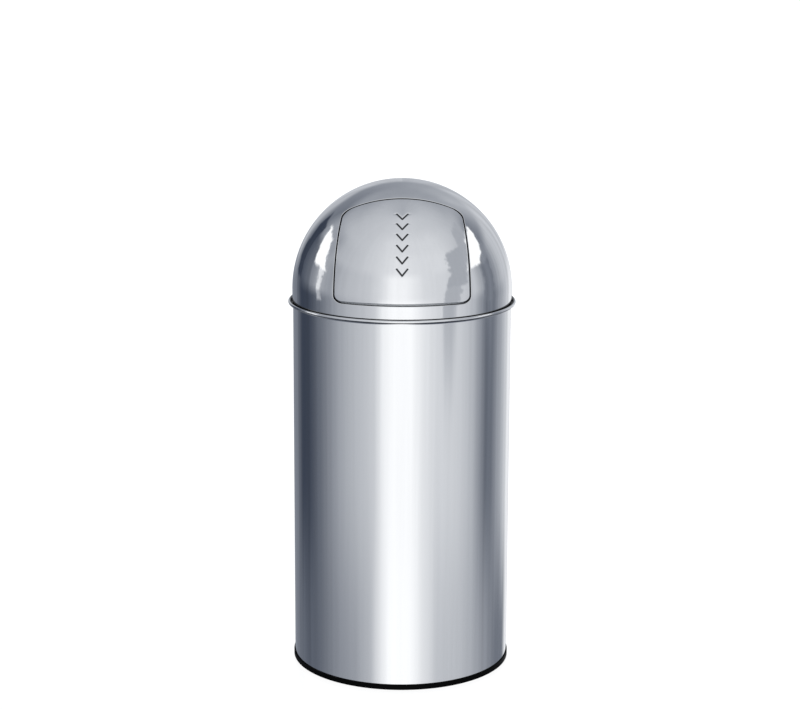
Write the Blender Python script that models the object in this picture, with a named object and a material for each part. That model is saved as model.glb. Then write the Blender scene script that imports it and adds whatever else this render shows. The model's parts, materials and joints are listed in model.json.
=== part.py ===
"""Dome-top push bin: a sheet-steel body with a rolled rim, a lift-out liner with a bail, and a domed lid whose
sprung flap swings inwards. Metres, +Z up, origin on the floor under the middle of the bin, flap towards -Y."""

import math

import bmesh
import bpy
import numpy as np
from mathutils import Matrix, Vector
from mathutils.geometry import convex_hull_2d

# Clearances and sheet
SEAT_GAP = 0.0003  # between pieces that rest on, or are welded to, each other
SHELL_GAP = 0.0007  # between a domed sheet's inside and what is fixed to it, which allows for its facets
SHEET = 0.0008  # stainless sheet of the body, dome and flap

# Body
BODY_RADIUS = 0.1675  # outside of the cylinder
RIM_HEIGHT = 0.5694  # middle of the rolled rim above the floor
RIM_BEAD_RADIUS = 0.0024
RIM_GUTTER = 0.0016  # between the dome and the bead
RIM_FLARE = 0.0030  # height in which the wall turns out into the seat

# Base
BASE_RING_HEIGHT = 0.0080
BASE_RING_WALL = 0.0015
BASE_RING_SOLE = 0.0030
BASE_RING_FOOT = 0.0100  # how far the sole reaches in under the body
FLOOR_SHEET = 0.0008
FLOOR_FLANGE = 0.0060

# Dome
DOME_PROUD = 0.0011  # how far the dome stands proud of the body's outside
DOME_SKIRT = 0.0207  # straight wall under the hemisphere
BAND_SHEET = 0.0008
BAND_DEPTH = 0.0160  # how far the locating band reaches down into the body
BAND_LAP = 0.0138  # how far it laps up inside the dome
BAND_CLEARANCE = 0.0005
BAND_LEAD_IN = 0.0020

# Opening and flap: heights are measured along the dome's surface, up from the end of its straight skirt
OPENING_SILL = 0.0030
OPENING_LENGTH = 0.1816
OPENING_WIDTH = 0.2032
OPENING_TAPER = 0.0125  # each side comes in by this much at the top
OPENING_CORNER_TOP = 0.0210
OPENING_CORNER_BOTTOM = 0.0130
OPENING_LIP = 0.0036  # turned-in edge of the opening
FLAP_GAP = 0.0016
FLAP_FLANGE = 0.0050
BACKING_LAP = 0.0080  # how far the backing plate hides behind the opening's edge
BACKING_TOP_DROP = 0.0180
BACKING_CORNER = 0.0100
BUMPER_WIDTH = 0.0050
BUMPER_LENGTH = 0.0200
BUMPER_HEIGHT = 0.0150  # the bumper's lower end above the sill
BUMPER_EDGE = 0.0010  # from the backing's side edge

# Hinge
HINGE_DEPTH = 0.0306  # pin's axis under the outside of the dome
HINGE_DROP = 0.0012  # pin's axis below the opening's top edge, along the surface
PIN_RADIUS = 0.0020
PIN_OVERHANG = 0.0030
LUG_SHEET = 0.0015
LUG_BOSS_RADIUS = 0.0045
LUG_FOOT = 0.0110
LUG_AIR = 0.0002  # round the pin
BRACKET_INSET = 0.0296  # from the opening's side to the brackets that the dome carries
BRACKET_START = 0.0185  # along the surface, above the opening's top edge
BRACKET_LENGTH = 0.0400
KNUCKLE_AIR = 0.0053  # between bracket and knuckle
KNUCKLE_START = 0.0400  # along the surface, below the hinge
KNUCKLE_LENGTH = 0.0300
CLIP_THICKNESS = 0.0012
CLIP_RADIUS = 0.0040
SPRING_WIRE_RADIUS = 0.0006
SPRING_TURNS = 4
SPRING_PITCH = 0.0018
SPRING_AIR = 0.0010  # between the coil's inside and the pin
SPRING_SIDE_GAP = 0.0040  # between the coil and the knuckle
SPRING_LEG = 0.0300

# Liner
LINER_SHEET = 0.0008
LINER_DROP = 0.0328  # its top, below the body's seat for the dome
LINER_AIR = 0.0091  # between its rim and the body
LINER_TAPER = 0.0130  # how much narrower it is at its foot
LINER_BEAD_RADIUS = 0.0035
LINER_BOTTOM_RISE = 0.0080
LINER_BOTTOM_FLANGE = 0.0050
EAR_SHEET = 0.0015
EAR_WIDTH = 0.0260
EAR_HEIGHT = 0.0380  # foot of the ear below the bail's pivot
EAR_FOOT_HEIGHT = 0.0120
EAR_BOSS_RADIUS = 0.0080
EAR_STANDOFF = 0.0018  # from the liner's inner wall at the rim
BAIL_WIRE_RADIUS = 0.0025
BAIL_AIR = 0.0003
BAIL_BEND = 0.0030
BAIL_HOOK = 0.0060  # how far the hooked end shows inside the ear
RIVET_RADIUS = 0.0020
RIVET_SPACING = 0.0140
RIVET_RISE = 0.0060  # above the ear's foot
RIVET_HEAD_RADIUS = 0.0038
RIVET_HEAD_HEIGHT = 0.0016

# Mesh fineness
TURN_STEPS = 60
DOME_STEPS = 14
BEAD_STEPS = 6
CORNER_STEPS = 5
PATCH_COLUMNS = 14
PATCH_ROWS = 10
ROUND_STEPS = 16
WIRE_STEPS = 10  # points in one turn of a coil
BAIL_STEPS = 36
CUT_MARGIN = 0.0100  # how far a cutter runs past what it cuts

# What follows from the sizes above
BODY_INSIDE = BODY_RADIUS - SHEET
DOME_RADIUS = BODY_RADIUS + DOME_PROUD
DOME_INSIDE = DOME_RADIUS - SHEET
RIM_BEAD_CENTRE = DOME_RADIUS + RIM_GUTTER + RIM_BEAD_RADIUS
RIM_SEAT = RIM_HEIGHT - RIM_BEAD_RADIUS + SHEET
DOME_EDGE = RIM_SEAT + SEAT_GAP
EQUATOR = DOME_EDGE + DOME_SKIRT
BODY_EDGE = BASE_RING_SOLE + SEAT_GAP
FLOOR_EDGE = BASE_RING_HEIGHT + SEAT_GAP
FLOOR_TOP = FLOOR_EDGE + FLOOR_FLANGE
LINER_FOOT = FLOOR_TOP + SEAT_GAP
LINER_TOP = RIM_SEAT - LINER_DROP
LINER_TOP_RADIUS = BODY_INSIDE - LINER_AIR - 2 * LINER_BEAD_RADIUS + LINER_SHEET / 2
LINER_FOOT_RADIUS = LINER_TOP_RADIUS - LINER_TAPER
OPENING_TOP = OPENING_SILL + OPENING_LENGTH
BACKING_DEPTH = FLAP_FLANGE + SEAT_GAP
HINGE_ANGLE = (OPENING_TOP - HINGE_DROP) / DOME_RADIUS
HINGE = Vector(
    (
        0,
        -(DOME_RADIUS - HINGE_DEPTH) * math.cos(HINGE_ANGLE),
        EQUATOR + (DOME_RADIUS - HINGE_DEPTH) * math.sin(HINGE_ANGLE),
    )
)
BRACKET_X = OPENING_WIDTH / 2 - BRACKET_INSET
KNUCKLE_X = BRACKET_X - KNUCKLE_AIR - LUG_SHEET
BAIL_PIVOT = LINER_TOP + SEAT_GAP + BAIL_WIRE_RADIUS
BAIL_RADIUS = LINER_TOP_RADIUS + LINER_BEAD_RADIUS / 2
EAR_OUTSIDE = LINER_TOP_RADIUS - LINER_SHEET - EAR_STANDOFF
RIVET_HEIGHT = BAIL_PIVOT - EAR_HEIGHT + RIVET_RISE


def clear_scene():
    for obj in list(bpy.data.objects):
        bpy.data.objects.remove(obj)


def finish(name, colour, roughness, metallic):
    """A Principled material, made once for each name."""
    found = bpy.data.materials.get(name)
    if found:
        return found
    made = bpy.data.materials.new(name)
    made.use_nodes = True
    shader = made.node_tree.nodes["Principled BSDF"]
    shader.inputs["Base Color"].default_value = (*colour, 1)
    shader.inputs["Roughness"].default_value = roughness
    shader.inputs["Metallic"].default_value = metallic
    made.diffuse_color = (*colour, 1)
    return made


def stainless():
    return finish("stainless_steel", (0.62, 0.63, 0.66), 0.18, 1.0)


def zinc():
    return finish("galvanised_steel", (0.55, 0.57, 0.58), 0.45, 1.0)


def spring_steel():
    return finish("spring_steel", (0.42, 0.42, 0.43), 0.3, 1.0)


def black_plastic():
    return finish("black_plastic", (0.012, 0.012, 0.013), 0.45, 0.0)


def rubber():
    return finish("rubber", (0.02, 0.02, 0.02), 0.8, 0.0)


def joint_axis(name, location):
    """An empty on a joint's axis, for the moving pieces to hang from."""
    empty = bpy.data.objects.new(name, None)
    empty.location = location
    bpy.context.scene.collection.objects.link(empty)
    return empty


def place(name, data, material, parent=None):
    obj = bpy.data.objects.new(name, data)
    bpy.context.scene.collection.objects.link(obj)
    data.materials.append(material)
    if parent:
        obj.parent = parent
        obj.matrix_parent_inverse = Matrix.Translation(parent.location).inverted()
    return obj


def mesh_from(name, verts, faces=(), edges=()):
    mesh = bpy.data.meshes.new(name)
    mesh.from_pydata([tuple(v) for v in verts], edges, faces)
    return mesh


def solid_from(name, build, material, parent=None):
    """An object from the bmesh that build() fills, with its faces turned outwards."""
    bm = bmesh.new()
    build(bm)
    bmesh.ops.recalc_face_normals(bm, faces=bm.faces)
    mesh = bpy.data.meshes.new(name)
    bm.to_mesh(mesh)
    bm.free()
    mesh.shade_smooth()
    mesh.set_sharp_from_angle(angle=math.radians(35))
    return place(name, mesh, material, parent)


def helper(obj):
    """Marks a cutter or a blank, which isn't part of the model."""
    obj.hide_render = True
    obj.display_type = "WIRE"
    return obj


def boolean(obj, other, operation):
    modifier = obj.modifiers.new(operation.lower(), "BOOLEAN")
    modifier.object = other
    modifier.operation = operation


def turned(name, profile, material, parent=None, closed=True):
    """A profile of (radius, height), which runs down its outer side, turned about Z. An open profile ends on the axis."""
    count = len(profile)
    edges = [(i, (i + 1) % count) for i in range(count if closed else count - 1)]
    mesh = mesh_from(name, [(r, 0, z) for r, z in profile], edges=edges)
    obj = place(name, mesh, material, parent)
    screw = obj.modifiers.new("turn", "SCREW")
    screw.steps = screw.render_steps = TURN_STEPS
    screw.use_merge_vertices = True
    screw.merge_threshold = 0.00001
    screw.use_smooth_shade = True
    return obj


def arc(centre, radius, start, end, steps):
    """(radius, height) points round an arc, with the angles in degrees from +X towards +Z."""
    return [
        (
            centre[0] + radius * math.cos(math.radians(start + (end - start) * i / steps)),
            centre[1] + radius * math.sin(math.radians(start + (end - start) * i / steps)),
        )
        for i in range(steps + 1)
    ]


def rod(bm, start, end, radius, steps=ROUND_STEPS):
    """A closed cylinder from start to end."""
    start, end = Vector(start), Vector(end)
    along = end - start
    turn = Vector((0, 0, 1)).rotation_difference(along.normalized()).to_matrix().to_4x4()
    bmesh.ops.create_cone(
        bm,
        cap_ends=True,
        segments=steps,
        radius1=radius,
        radius2=radius,
        depth=along.length,
        matrix=Matrix.Translation((start + end) / 2) @ turn,
    )


def plate(bm, points, low, high):
    """A flat plate between two places on X, whose outline is wrapped tight round its (y, z) points."""
    section = [points[i] for i in convex_hull_2d(points)]
    loops = [[bm.verts.new((x, y, z)) for y, z in section] for x in (low, high)]
    loft_loops(bm, loops)
    for loop in loops:
        bm.faces.new(loop)


def rod_object(name, start, end, radius, material, parent=None):
    return solid_from(name, lambda bm: rod(bm, start, end, radius), material, parent)


def wire(name, points, radius, sides, material, parent=None):
    """A round wire along points, as a curve with a bevel and filled caps."""
    curve = bpy.data.curves.new(name, "CURVE")
    curve.dimensions = "3D"
    curve.bevel_depth = radius
    curve.bevel_resolution = sides
    curve.use_fill_caps = True
    spline = curve.splines.new("POLY")
    spline.points.add(len(points) - 1)
    for target, point in zip(spline.points, points):
        target.co = (*point, 1)
    return place(name, curve, material, parent)


def on_dome(x, height, depth=0.0):
    """The point x across and height up the dome's surface, and depth under its outside."""
    angle = max(height, 0) / DOME_RADIUS
    reach = math.sqrt((DOME_RADIUS - depth) ** 2 - x**2)
    return Vector((x, -reach * math.cos(angle), EQUATOR + min(height, 0) + reach * math.sin(angle)))


def opening_side(height):
    """Half the opening's width at a height above its sill, before the corners are rounded."""
    return OPENING_WIDTH / 2 - OPENING_TAPER * (height / OPENING_LENGTH) ** 2


def outline(inset, top_corner, bottom_corner, bottom=0.0, top=OPENING_LENGTH, rows=PATCH_ROWS):
    """Rows of (height above the sill, half width) of a shape inset from the opening, with round corners."""
    found = []
    low, high = bottom + inset, top - inset
    for i in range(CORNER_STEPS + 1):
        turn = math.pi / 2 * i / CORNER_STEPS
        height = low + bottom_corner * (1 - math.cos(turn))
        found.append((height, opening_side(height) - inset - bottom_corner * (1 - math.sin(turn))))
    for i in range(1, rows):
        height = low + bottom_corner + (high - low - top_corner - bottom_corner) * i / rows
        found.append((height, opening_side(height) - inset))
    for i in range(CORNER_STEPS, -1, -1):
        turn = math.pi / 2 * i / CORNER_STEPS
        height = high - top_corner * (1 - math.cos(turn))
        found.append((height, opening_side(height) - inset - top_corner * (1 - math.sin(turn))))
    return found


def opening_outline(inset):
    return outline(inset, OPENING_CORNER_TOP - inset, OPENING_CORNER_BOTTOM - inset)


def backing_outline():
    return outline(
        0.0, BACKING_CORNER, BACKING_CORNER, -BACKING_LAP, OPENING_LENGTH - BACKING_TOP_DROP
    )


def grid(rows, depth, columns):
    """The points of a patch on the dome, row by row from the bottom, at one depth."""
    return [
        [on_dome(half * (2 * i / columns - 1), OPENING_SILL + height, depth) for i in range(columns + 1)]
        for height, half in rows
    ]


def edge_of(rows, columns):
    """The (row, column) places round a grid's edge, in order."""
    last = len(rows) - 1
    return (
        [(0, i) for i in range(columns)]
        + [(j, columns) for j in range(last)]
        + [(last, i) for i in range(columns, 0, -1)]
        + [(j, 0) for j in range(last, 0, -1)]
    )


def loft_loops(bm, loops):
    for lower, upper in zip(loops, loops[1:]):
        for i in range(len(lower)):
            k = (i + 1) % len(lower)
            bm.faces.new((lower[i], lower[k], upper[k], upper[i]))


def patch(bm, steps, columns=PATCH_COLUMNS):
    """A solid between two patches on the dome. steps are (rows, depth) from the outer patch to the inner one,
    and the ones in between are loops of the edge, such as a flange's."""
    grids = [grid(rows, depth, columns) for rows, depth in steps]
    places = edge_of(grids[0], columns)
    loops = []
    for index, points in enumerate(grids):
        if index in (0, len(grids) - 1):
            verts = [[bm.verts.new(p) for p in row] for row in points]
            for below, above in zip(verts, verts[1:]):
                for i in range(columns):
                    bm.faces.new((below[i], below[i + 1], above[i + 1], above[i]))
            loops.append([verts[j][i] for j, i in places])
        else:
            loops.append([bm.verts.new(points[j][i]) for j, i in places])
    loft_loops(bm, loops)


def ring_patch(bm, corners):
    """A closed frame round the opening. corners are its section's (inset, depth), in order."""
    loops = []
    for inset, depth in corners:
        points = grid(opening_outline(inset), depth, PATCH_COLUMNS)
        loops.append([bm.verts.new(points[j][i]) for j, i in edge_of(points, PATCH_COLUMNS)])
    loft_loops(bm, loops + loops[:1])


def body_shell():
    """One sheet: the wall, its outward seat for the dome, and the rolled bead."""
    bead = (RIM_BEAD_CENTRE, RIM_HEIGHT)
    meets = 180 + math.degrees(math.asin((RIM_HEIGHT - RIM_SEAT) / RIM_BEAD_RADIUS))
    profile = arc(bead, RIM_BEAD_RADIUS, meets, -90, BEAD_STEPS * 2)
    profile += arc(
        (BODY_RADIUS + RIM_FLARE, RIM_HEIGHT - RIM_BEAD_RADIUS - RIM_FLARE), RIM_FLARE, 90, 180, 4
    )
    profile += [
        (BODY_RADIUS, BODY_EDGE),
        (BODY_INSIDE, BODY_EDGE),
        (BODY_INSIDE, RIM_SEAT - SHEET),
        (BODY_INSIDE + SHEET / 3, RIM_SEAT),
    ]
    turned("body_shell", profile, stainless())


def body_floor():
    """The pressed floor: a disc with a turned-down flange that stands on the base ring."""
    outer = BODY_INSIDE - SEAT_GAP
    profile = [
        (0, FLOOR_TOP),
        (outer - FLOOR_SHEET, FLOOR_TOP),
        (outer, FLOOR_TOP - FLOOR_SHEET),
        (outer, FLOOR_EDGE),
        (outer - FLOOR_SHEET, FLOOR_EDGE),
        (outer - FLOOR_SHEET, FLOOR_TOP - FLOOR_SHEET),
        (0, FLOOR_TOP - FLOOR_SHEET),
    ]
    turned("body_floor", profile, zinc(), closed=False)


def base_ring():
    """The plastic ring under the body. Its groove holds the edge of the wall."""
    groove_out = BODY_RADIUS + SEAT_GAP
    groove_in = BODY_INSIDE - SEAT_GAP
    outer = groove_out + BASE_RING_WALL
    inner = groove_in - BASE_RING_WALL
    chamfer = BASE_RING_WALL / 3
    profile = [
        (groove_out, BASE_RING_HEIGHT),
        (outer - chamfer, BASE_RING_HEIGHT),
        (outer, BASE_RING_HEIGHT - chamfer),
        (outer, chamfer),
        (outer - chamfer, 0),
        (groove_in - BASE_RING_FOOT, 0),
        (groove_in - BASE_RING_FOOT, BASE_RING_SOLE),
        (inner, BASE_RING_SOLE),
        (inner, BASE_RING_HEIGHT),
        (groove_in, BASE_RING_HEIGHT),
        (groove_in, BASE_RING_SOLE),
        (groove_out, BASE_RING_SOLE),
    ]
    turned("base_ring", profile, black_plastic())


def dome_shell(lid):
    """Skirt and hemisphere in one sheet, with the flap's opening and its turned-in lip."""
    centre = (0, EQUATOR)
    profile = arc(centre, DOME_RADIUS, 90, 0, DOME_STEPS)
    profile += [(DOME_RADIUS, DOME_EDGE), (DOME_INSIDE, DOME_EDGE)]
    profile += arc(centre, DOME_INSIDE, 0, 90, DOME_STEPS)
    dome = turned("dome_shell", profile, stainless(), lid, closed=False)

    trim = SHEET / 2
    start = SHEET * 0.8
    section = [(trim, start), (trim, OPENING_LIP), (-SHEET, OPENING_LIP), (-SHEET, start)]
    lip = solid_from("lip_blank", lambda bm: ring_patch(bm, section), stainless(), lid)
    boolean(dome, helper(lip), "UNION")

    edge = opening_outline(0.0)
    steps = [(edge, -CUT_MARGIN), (edge, CUT_MARGIN)]
    cutter = solid_from("opening_cutter", lambda bm: patch(bm, steps), stainless(), lid)
    boolean(dome, helper(cutter), "DIFFERENCE")


def locating_band(lid):
    """The stepped band inside the dome's skirt that centres the lid in the body."""
    upper = DOME_INSIDE - SEAT_GAP
    lower = BODY_INSIDE - BAND_CLEARANCE
    step_low = DOME_EDGE + SEAT_GAP
    step_high = step_low + (upper - lower) * 1.5
    top = DOME_EDGE + BAND_LAP
    bottom = RIM_SEAT - BAND_DEPTH
    outside = [
        (upper, top),
        (upper, step_high),
        (lower, step_low),
        (lower, bottom + BAND_LEAD_IN),
        (lower - BAND_LEAD_IN, bottom),
    ]
    inside = [(r - BAND_SHEET, z) for r, z in reversed(outside)]
    turned("locating_band", outside + inside, stainless(), lid)


def hinge_lug(name, side, face_x, foot_x, start, length, depth, material, parent):
    """A sheet-metal lug on the hinge pin: an upright ear round the pin, and a foot welded along the sheet.
    face_x and foot_x are the inner faces of both, and start and length run along the dome's surface."""
    far_x = face_x + LUG_SHEET
    mid_depth = depth + LUG_SHEET / 2
    reach = math.sqrt((DOME_RADIUS - mid_depth) ** 2 - ((face_x + far_x) / 2) ** 2)

    def ear(bm):
        section = arc((HINGE.y, HINGE.z), LUG_BOSS_RADIUS, 0, 360, ROUND_STEPS)[1:]
        for i in range(5):
            angle = (start + LUG_SHEET + (length - 2 * LUG_SHEET) * i / 4) / DOME_RADIUS
            section.append((-reach * math.cos(angle), EQUATOR + reach * math.sin(angle)))
        plate(bm, section, side * face_x, side * far_x)

    def foot(bm):
        layers = []
        for layer in (depth, depth + LUG_SHEET):
            rows = []
            for i in range(5):
                height = start + length * i / 4
                ends = (foot_x, foot_x + LUG_FOOT)
                rows.append([bm.verts.new(on_dome(side * x, height, layer)) for x in ends])
            layers.append(rows)
            for below, above in zip(rows, rows[1:]):
                bm.faces.new((below[0], below[1], above[1], above[0]))
        loops = [
            [row[0] for row in rows] + [row[1] for row in reversed(rows)] for rows in layers
        ]
        loft_loops(bm, loops)

    def hole(bm):
        ends = [HINGE + Vector((side * x, 0, 0)) for x in (face_x - CUT_MARGIN, far_x + CUT_MARGIN)]
        rod(bm, *ends, PIN_RADIUS + LUG_AIR)

    lug = solid_from(name, ear, material, parent)
    boolean(lug, helper(solid_from(name + "_foot", foot, material, parent)), "UNION")
    boolean(lug, helper(solid_from(name + "_hole", hole, material, parent)), "DIFFERENCE")


def hinge_pin(lid):
    reach = BRACKET_X + LUG_SHEET + SEAT_GAP + CLIP_THICKNESS + PIN_OVERHANG
    across = Vector((reach, 0, 0))
    rod_object("hinge_pin", HINGE - across, HINGE + across, PIN_RADIUS, spring_steel(), lid)


def pin_clip(side, label, lid):
    """A push-on washer that keeps the pin from sliding out."""
    near = BRACKET_X + LUG_SHEET + SEAT_GAP
    ends = [HINGE + Vector((side * x, 0, 0)) for x in (near, near + CLIP_THICKNESS)]
    clip = rod_object("pin_clip_" + label, *ends, CLIP_RADIUS, spring_steel(), lid)
    past = [
        HINGE + Vector((side * x, 0, 0)) for x in (near - CUT_MARGIN, near + CUT_MARGIN)
    ]
    bore = rod_object(
        "pin_clip_bore_" + label, *past, PIN_RADIUS + LUG_AIR, spring_steel(), lid
    )
    boolean(clip, helper(bore), "DIFFERENCE")


def torsion_spring(side, label, lid):
    """A coil round the pin. One leg runs back to the dome and the other runs down behind the flap."""
    coil_radius = PIN_RADIUS + SPRING_AIR + SPRING_WIRE_RADIUS
    outer_x = KNUCKLE_X - SPRING_SIDE_GAP
    inner_x = outer_x - SPRING_TURNS * SPRING_PITCH
    seat_depth = BACKING_DEPTH + SHEET + SHELL_GAP + SPRING_WIRE_RADIUS
    seat_reach = math.sqrt((DOME_RADIUS - seat_depth) ** 2 - outer_x**2)

    def tangent_angle(target, winding):
        """The angle on the coil at which a straight leg to target leaves it."""
        away = Vector((target[0] - HINGE.y, target[1] - HINGE.z))
        lean = math.acos(coil_radius / away.length)
        return math.atan2(away.y, away.x) + winding * lean

    flap_angle = HINGE_ANGLE - SPRING_LEG / DOME_RADIUS
    flap_end = (-seat_reach * math.cos(flap_angle), EQUATOR + seat_reach * math.sin(flap_angle))
    dome_depth = SHEET + SHELL_GAP + SPRING_WIRE_RADIUS
    dome_reach = math.sqrt((DOME_RADIUS - dome_depth) ** 2 - inner_x**2)
    dome_angle = HINGE_ANGLE + SPRING_LEG / 2 / DOME_RADIUS
    dome_end = (-dome_reach * math.cos(dome_angle), EQUATOR + dome_reach * math.sin(dome_angle))
    first = tangent_angle(dome_end, -1)
    last = tangent_angle(flap_end, 1)
    sweep = (last - first) % (2 * math.pi) + 2 * math.pi * (SPRING_TURNS - 1)
    steps = round(sweep / (2 * math.pi) * WIRE_STEPS)

    points = [Vector((side * inner_x, *dome_end))]
    for i in range(steps + 1):
        turn = first + sweep * i / steps
        x = inner_x + (outer_x - inner_x) * i / steps
        y = HINGE.y + coil_radius * math.cos(turn)
        z = HINGE.z + coil_radius * math.sin(turn)
        points.append(Vector((side * x, y, z)))
    points.append(Vector((side * outer_x, *flap_end)))
    wire("torsion_spring_" + label, points, SPRING_WIRE_RADIUS, 1, spring_steel(), lid)


def flap_panel(flap):
    """The outer skin of the flap, flush with the dome, with a flange turned in all round."""
    steps = [
        (opening_outline(FLAP_GAP), 0.0),
        (opening_outline(FLAP_GAP), FLAP_FLANGE),
        (opening_outline(FLAP_GAP + SHEET), FLAP_FLANGE),
        (opening_outline(FLAP_GAP + SHEET), SHEET),
    ]
    solid_from("flap_panel", lambda bm: patch(bm, steps), stainless(), flap)


def widened(rows, lap):
    return [(height, half + lap) for height, half in rows]


def flap_backing(flap):
    """The inner skin. It laps behind the opening's edge, so that the flap can't swing outwards."""
    rows = widened(backing_outline(), BACKING_LAP)
    steps = [(rows, BACKING_DEPTH), (rows, BACKING_DEPTH + SHEET)]
    solid_from("flap_backing", lambda bm: patch(bm, steps), zinc(), flap)


def flap_bumper(side, label, flap):
    """A rubber pad on the backing, which meets the inside of the dome when the flap shuts."""
    outer_depth = SHEET + SHELL_GAP
    inner_depth = BACKING_DEPTH - SEAT_GAP
    low = BUMPER_HEIGHT
    far = opening_side(low + BUMPER_LENGTH) + BACKING_LAP - BUMPER_EDGE

    def build(bm):
        layers = []
        for depth in (outer_depth, inner_depth):
            rows = []
            for i in range(4):
                height = OPENING_SILL + low + BUMPER_LENGTH * i / 3
                ends = (far - BUMPER_WIDTH, far)
                rows.append([bm.verts.new(on_dome(side * x, height, depth)) for x in ends])
            layers.append(rows)
            for below, above in zip(rows, rows[1:]):
                bm.faces.new((below[0], below[1], above[1], above[0]))
        loops = [
            [row[0] for row in rows] + [row[1] for row in reversed(rows)] for rows in layers
        ]
        loft_loops(bm, loops)

    solid_from("flap_bumper_" + label, build, rubber(), flap)


def liner_radius(height):
    """Outside of the liner's tapered wall at a height above the floor."""
    share = (height - LINER_FOOT) / (LINER_TOP - LINER_FOOT)
    return LINER_FOOT_RADIUS + (LINER_TOP_RADIUS - LINER_FOOT_RADIUS) * share


def rivet_places():
    return [(side, across) for side in (1, -1) for across in (-RIVET_SPACING / 2, RIVET_SPACING / 2)]


def liner_wall(liner):
    """The tapered wall with its rolled rim, drilled for the ears' rivets."""
    bead = (LINER_TOP_RADIUS - LINER_SHEET / 2 + LINER_BEAD_RADIUS, LINER_TOP - LINER_BEAD_RADIUS)
    meets = math.degrees(math.acos(-(LINER_BEAD_RADIUS - LINER_SHEET / 2) / LINER_BEAD_RADIUS))
    profile = arc(bead, LINER_BEAD_RADIUS, 180, meets - 360 + (180 - meets) * 2, BEAD_STEPS * 2 - 4)
    last = profile[-1]
    profile += [
        (liner_radius(last[1] - LINER_SHEET), last[1] - LINER_SHEET),
        (LINER_FOOT_RADIUS, LINER_FOOT),
        (LINER_FOOT_RADIUS - LINER_SHEET, LINER_FOOT),
        (liner_radius(bead[1]) - LINER_SHEET, bead[1]),
    ]
    wall = turned("liner_wall", profile, zinc(), liner)
    for number, (side, across) in enumerate(rivet_places()):
        inside = (side * (EAR_OUTSIDE - CUT_MARGIN), across, RIVET_HEIGHT)
        outside = (side * (LINER_TOP_RADIUS + CUT_MARGIN), across, RIVET_HEIGHT)
        hole = rod_object(
            f"rivet_hole_{number}", inside, outside, RIVET_RADIUS + SEAT_GAP, zinc(), liner
        )
        boolean(wall, helper(hole), "DIFFERENCE")


def liner_bottom(liner):
    top = LINER_FOOT + LINER_BOTTOM_RISE
    edge = top - LINER_BOTTOM_FLANGE
    outer = liner_radius(edge) - LINER_SHEET - SEAT_GAP
    profile = [
        (0, top),
        (outer - LINER_SHEET, top),
        (outer, top - LINER_SHEET),
        (outer, edge),
        (outer - LINER_SHEET, edge),
        (outer - LINER_SHEET, top - LINER_SHEET),
        (0, top - LINER_SHEET),
    ]
    turned("liner_bottom", profile, zinc(), liner, closed=False)


def liner_ear(side, label, liner):
    """The plate inside the rim that the bail hooks into."""

    foot = BAIL_PIVOT - EAR_HEIGHT
    section = arc((0, BAIL_PIVOT), EAR_BOSS_RADIUS, 0, 360, ROUND_STEPS)[1:]
    for y in (-EAR_WIDTH / 2, EAR_WIDTH / 2):
        section += [(y, foot), (y, foot + EAR_FOOT_HEIGHT)]

    def build(bm):
        plate(bm, section, side * (EAR_OUTSIDE - EAR_SHEET), side * EAR_OUTSIDE)

    ear = solid_from("liner_ear_" + label, build, zinc(), liner)
    near, far = side * (EAR_OUTSIDE - CUT_MARGIN), side * (EAR_OUTSIDE + CUT_MARGIN)
    holes = [(0, BAIL_PIVOT, BAIL_WIRE_RADIUS + BAIL_AIR)]
    holes += [(across, RIVET_HEIGHT, RIVET_RADIUS + SEAT_GAP) for s, across in rivet_places() if s == side]
    for number, (y, z, radius) in enumerate(holes):
        drill = rod_object(
            f"ear_hole_{label}_{number}", (near, y, z), (far, y, z), radius, zinc(), liner
        )
        boolean(ear, helper(drill), "DIFFERENCE")


def liner_rivet(number, side, across, liner):
    """A rivet along X: a head inside the ear, the shank, and a head outside the wall."""
    inner_face = EAR_OUTSIDE - EAR_SHEET - SEAT_GAP
    outer_face = liner_radius(RIVET_HEIGHT + RIVET_HEAD_RADIUS) + SEAT_GAP

    def build(bm):
        stations = [
            (inner_face - RIVET_HEAD_HEIGHT, RIVET_HEAD_RADIUS / 2),
            (inner_face - RIVET_HEAD_HEIGHT / 2, RIVET_HEAD_RADIUS * 0.9),
            (inner_face, RIVET_HEAD_RADIUS),
            (inner_face, RIVET_RADIUS),
            (outer_face, RIVET_RADIUS),
            (outer_face, RIVET_HEAD_RADIUS),
            (outer_face + RIVET_HEAD_HEIGHT / 2, RIVET_HEAD_RADIUS * 0.9),
            (outer_face + RIVET_HEAD_HEIGHT, RIVET_HEAD_RADIUS / 2),
        ]
        loops = []
        for x, radius in stations:
            section = arc((across, RIVET_HEIGHT), radius, 0, 360, WIRE_STEPS)[1:]
            loops.append([bm.verts.new((side * x, y, z)) for y, z in section])
        loft_loops(bm, loops)
        bm.faces.new(loops[0])
        bm.faces.new(loops[-1])

    solid_from(f"liner_rivet_{number}", build, zinc(), liner)


def liner_bail(bail):
    """The wire handle, lying back on the rim. Its ends turn in and hook through the ears."""
    def half(side):
        inner_end = EAR_OUTSIDE - EAR_SHEET - BAIL_HOOK
        bend = [
            (
                BAIL_RADIUS - BAIL_BEND + BAIL_BEND * math.sin(turn),
                BAIL_BEND * (1 - math.cos(turn)),
            )
            for turn in (math.pi / 8 * i for i in range(4))
        ]
        return [(side * x, y) for x, y in [(inner_end, 0), *bend]]

    start = math.asin(BAIL_BEND / BAIL_RADIUS)
    sweep = [
        (BAIL_RADIUS * math.cos(turn), BAIL_RADIUS * math.sin(turn))
        for turn in np.linspace(start, math.pi - start, BAIL_STEPS)
    ]
    flat = half(1) + sweep + half(-1)[::-1]
    points = [(x, y, BAIL_PIVOT) for x, y in flat]
    wire("liner_bail", points, BAIL_WIRE_RADIUS, 2, zinc(), bail)


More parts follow.
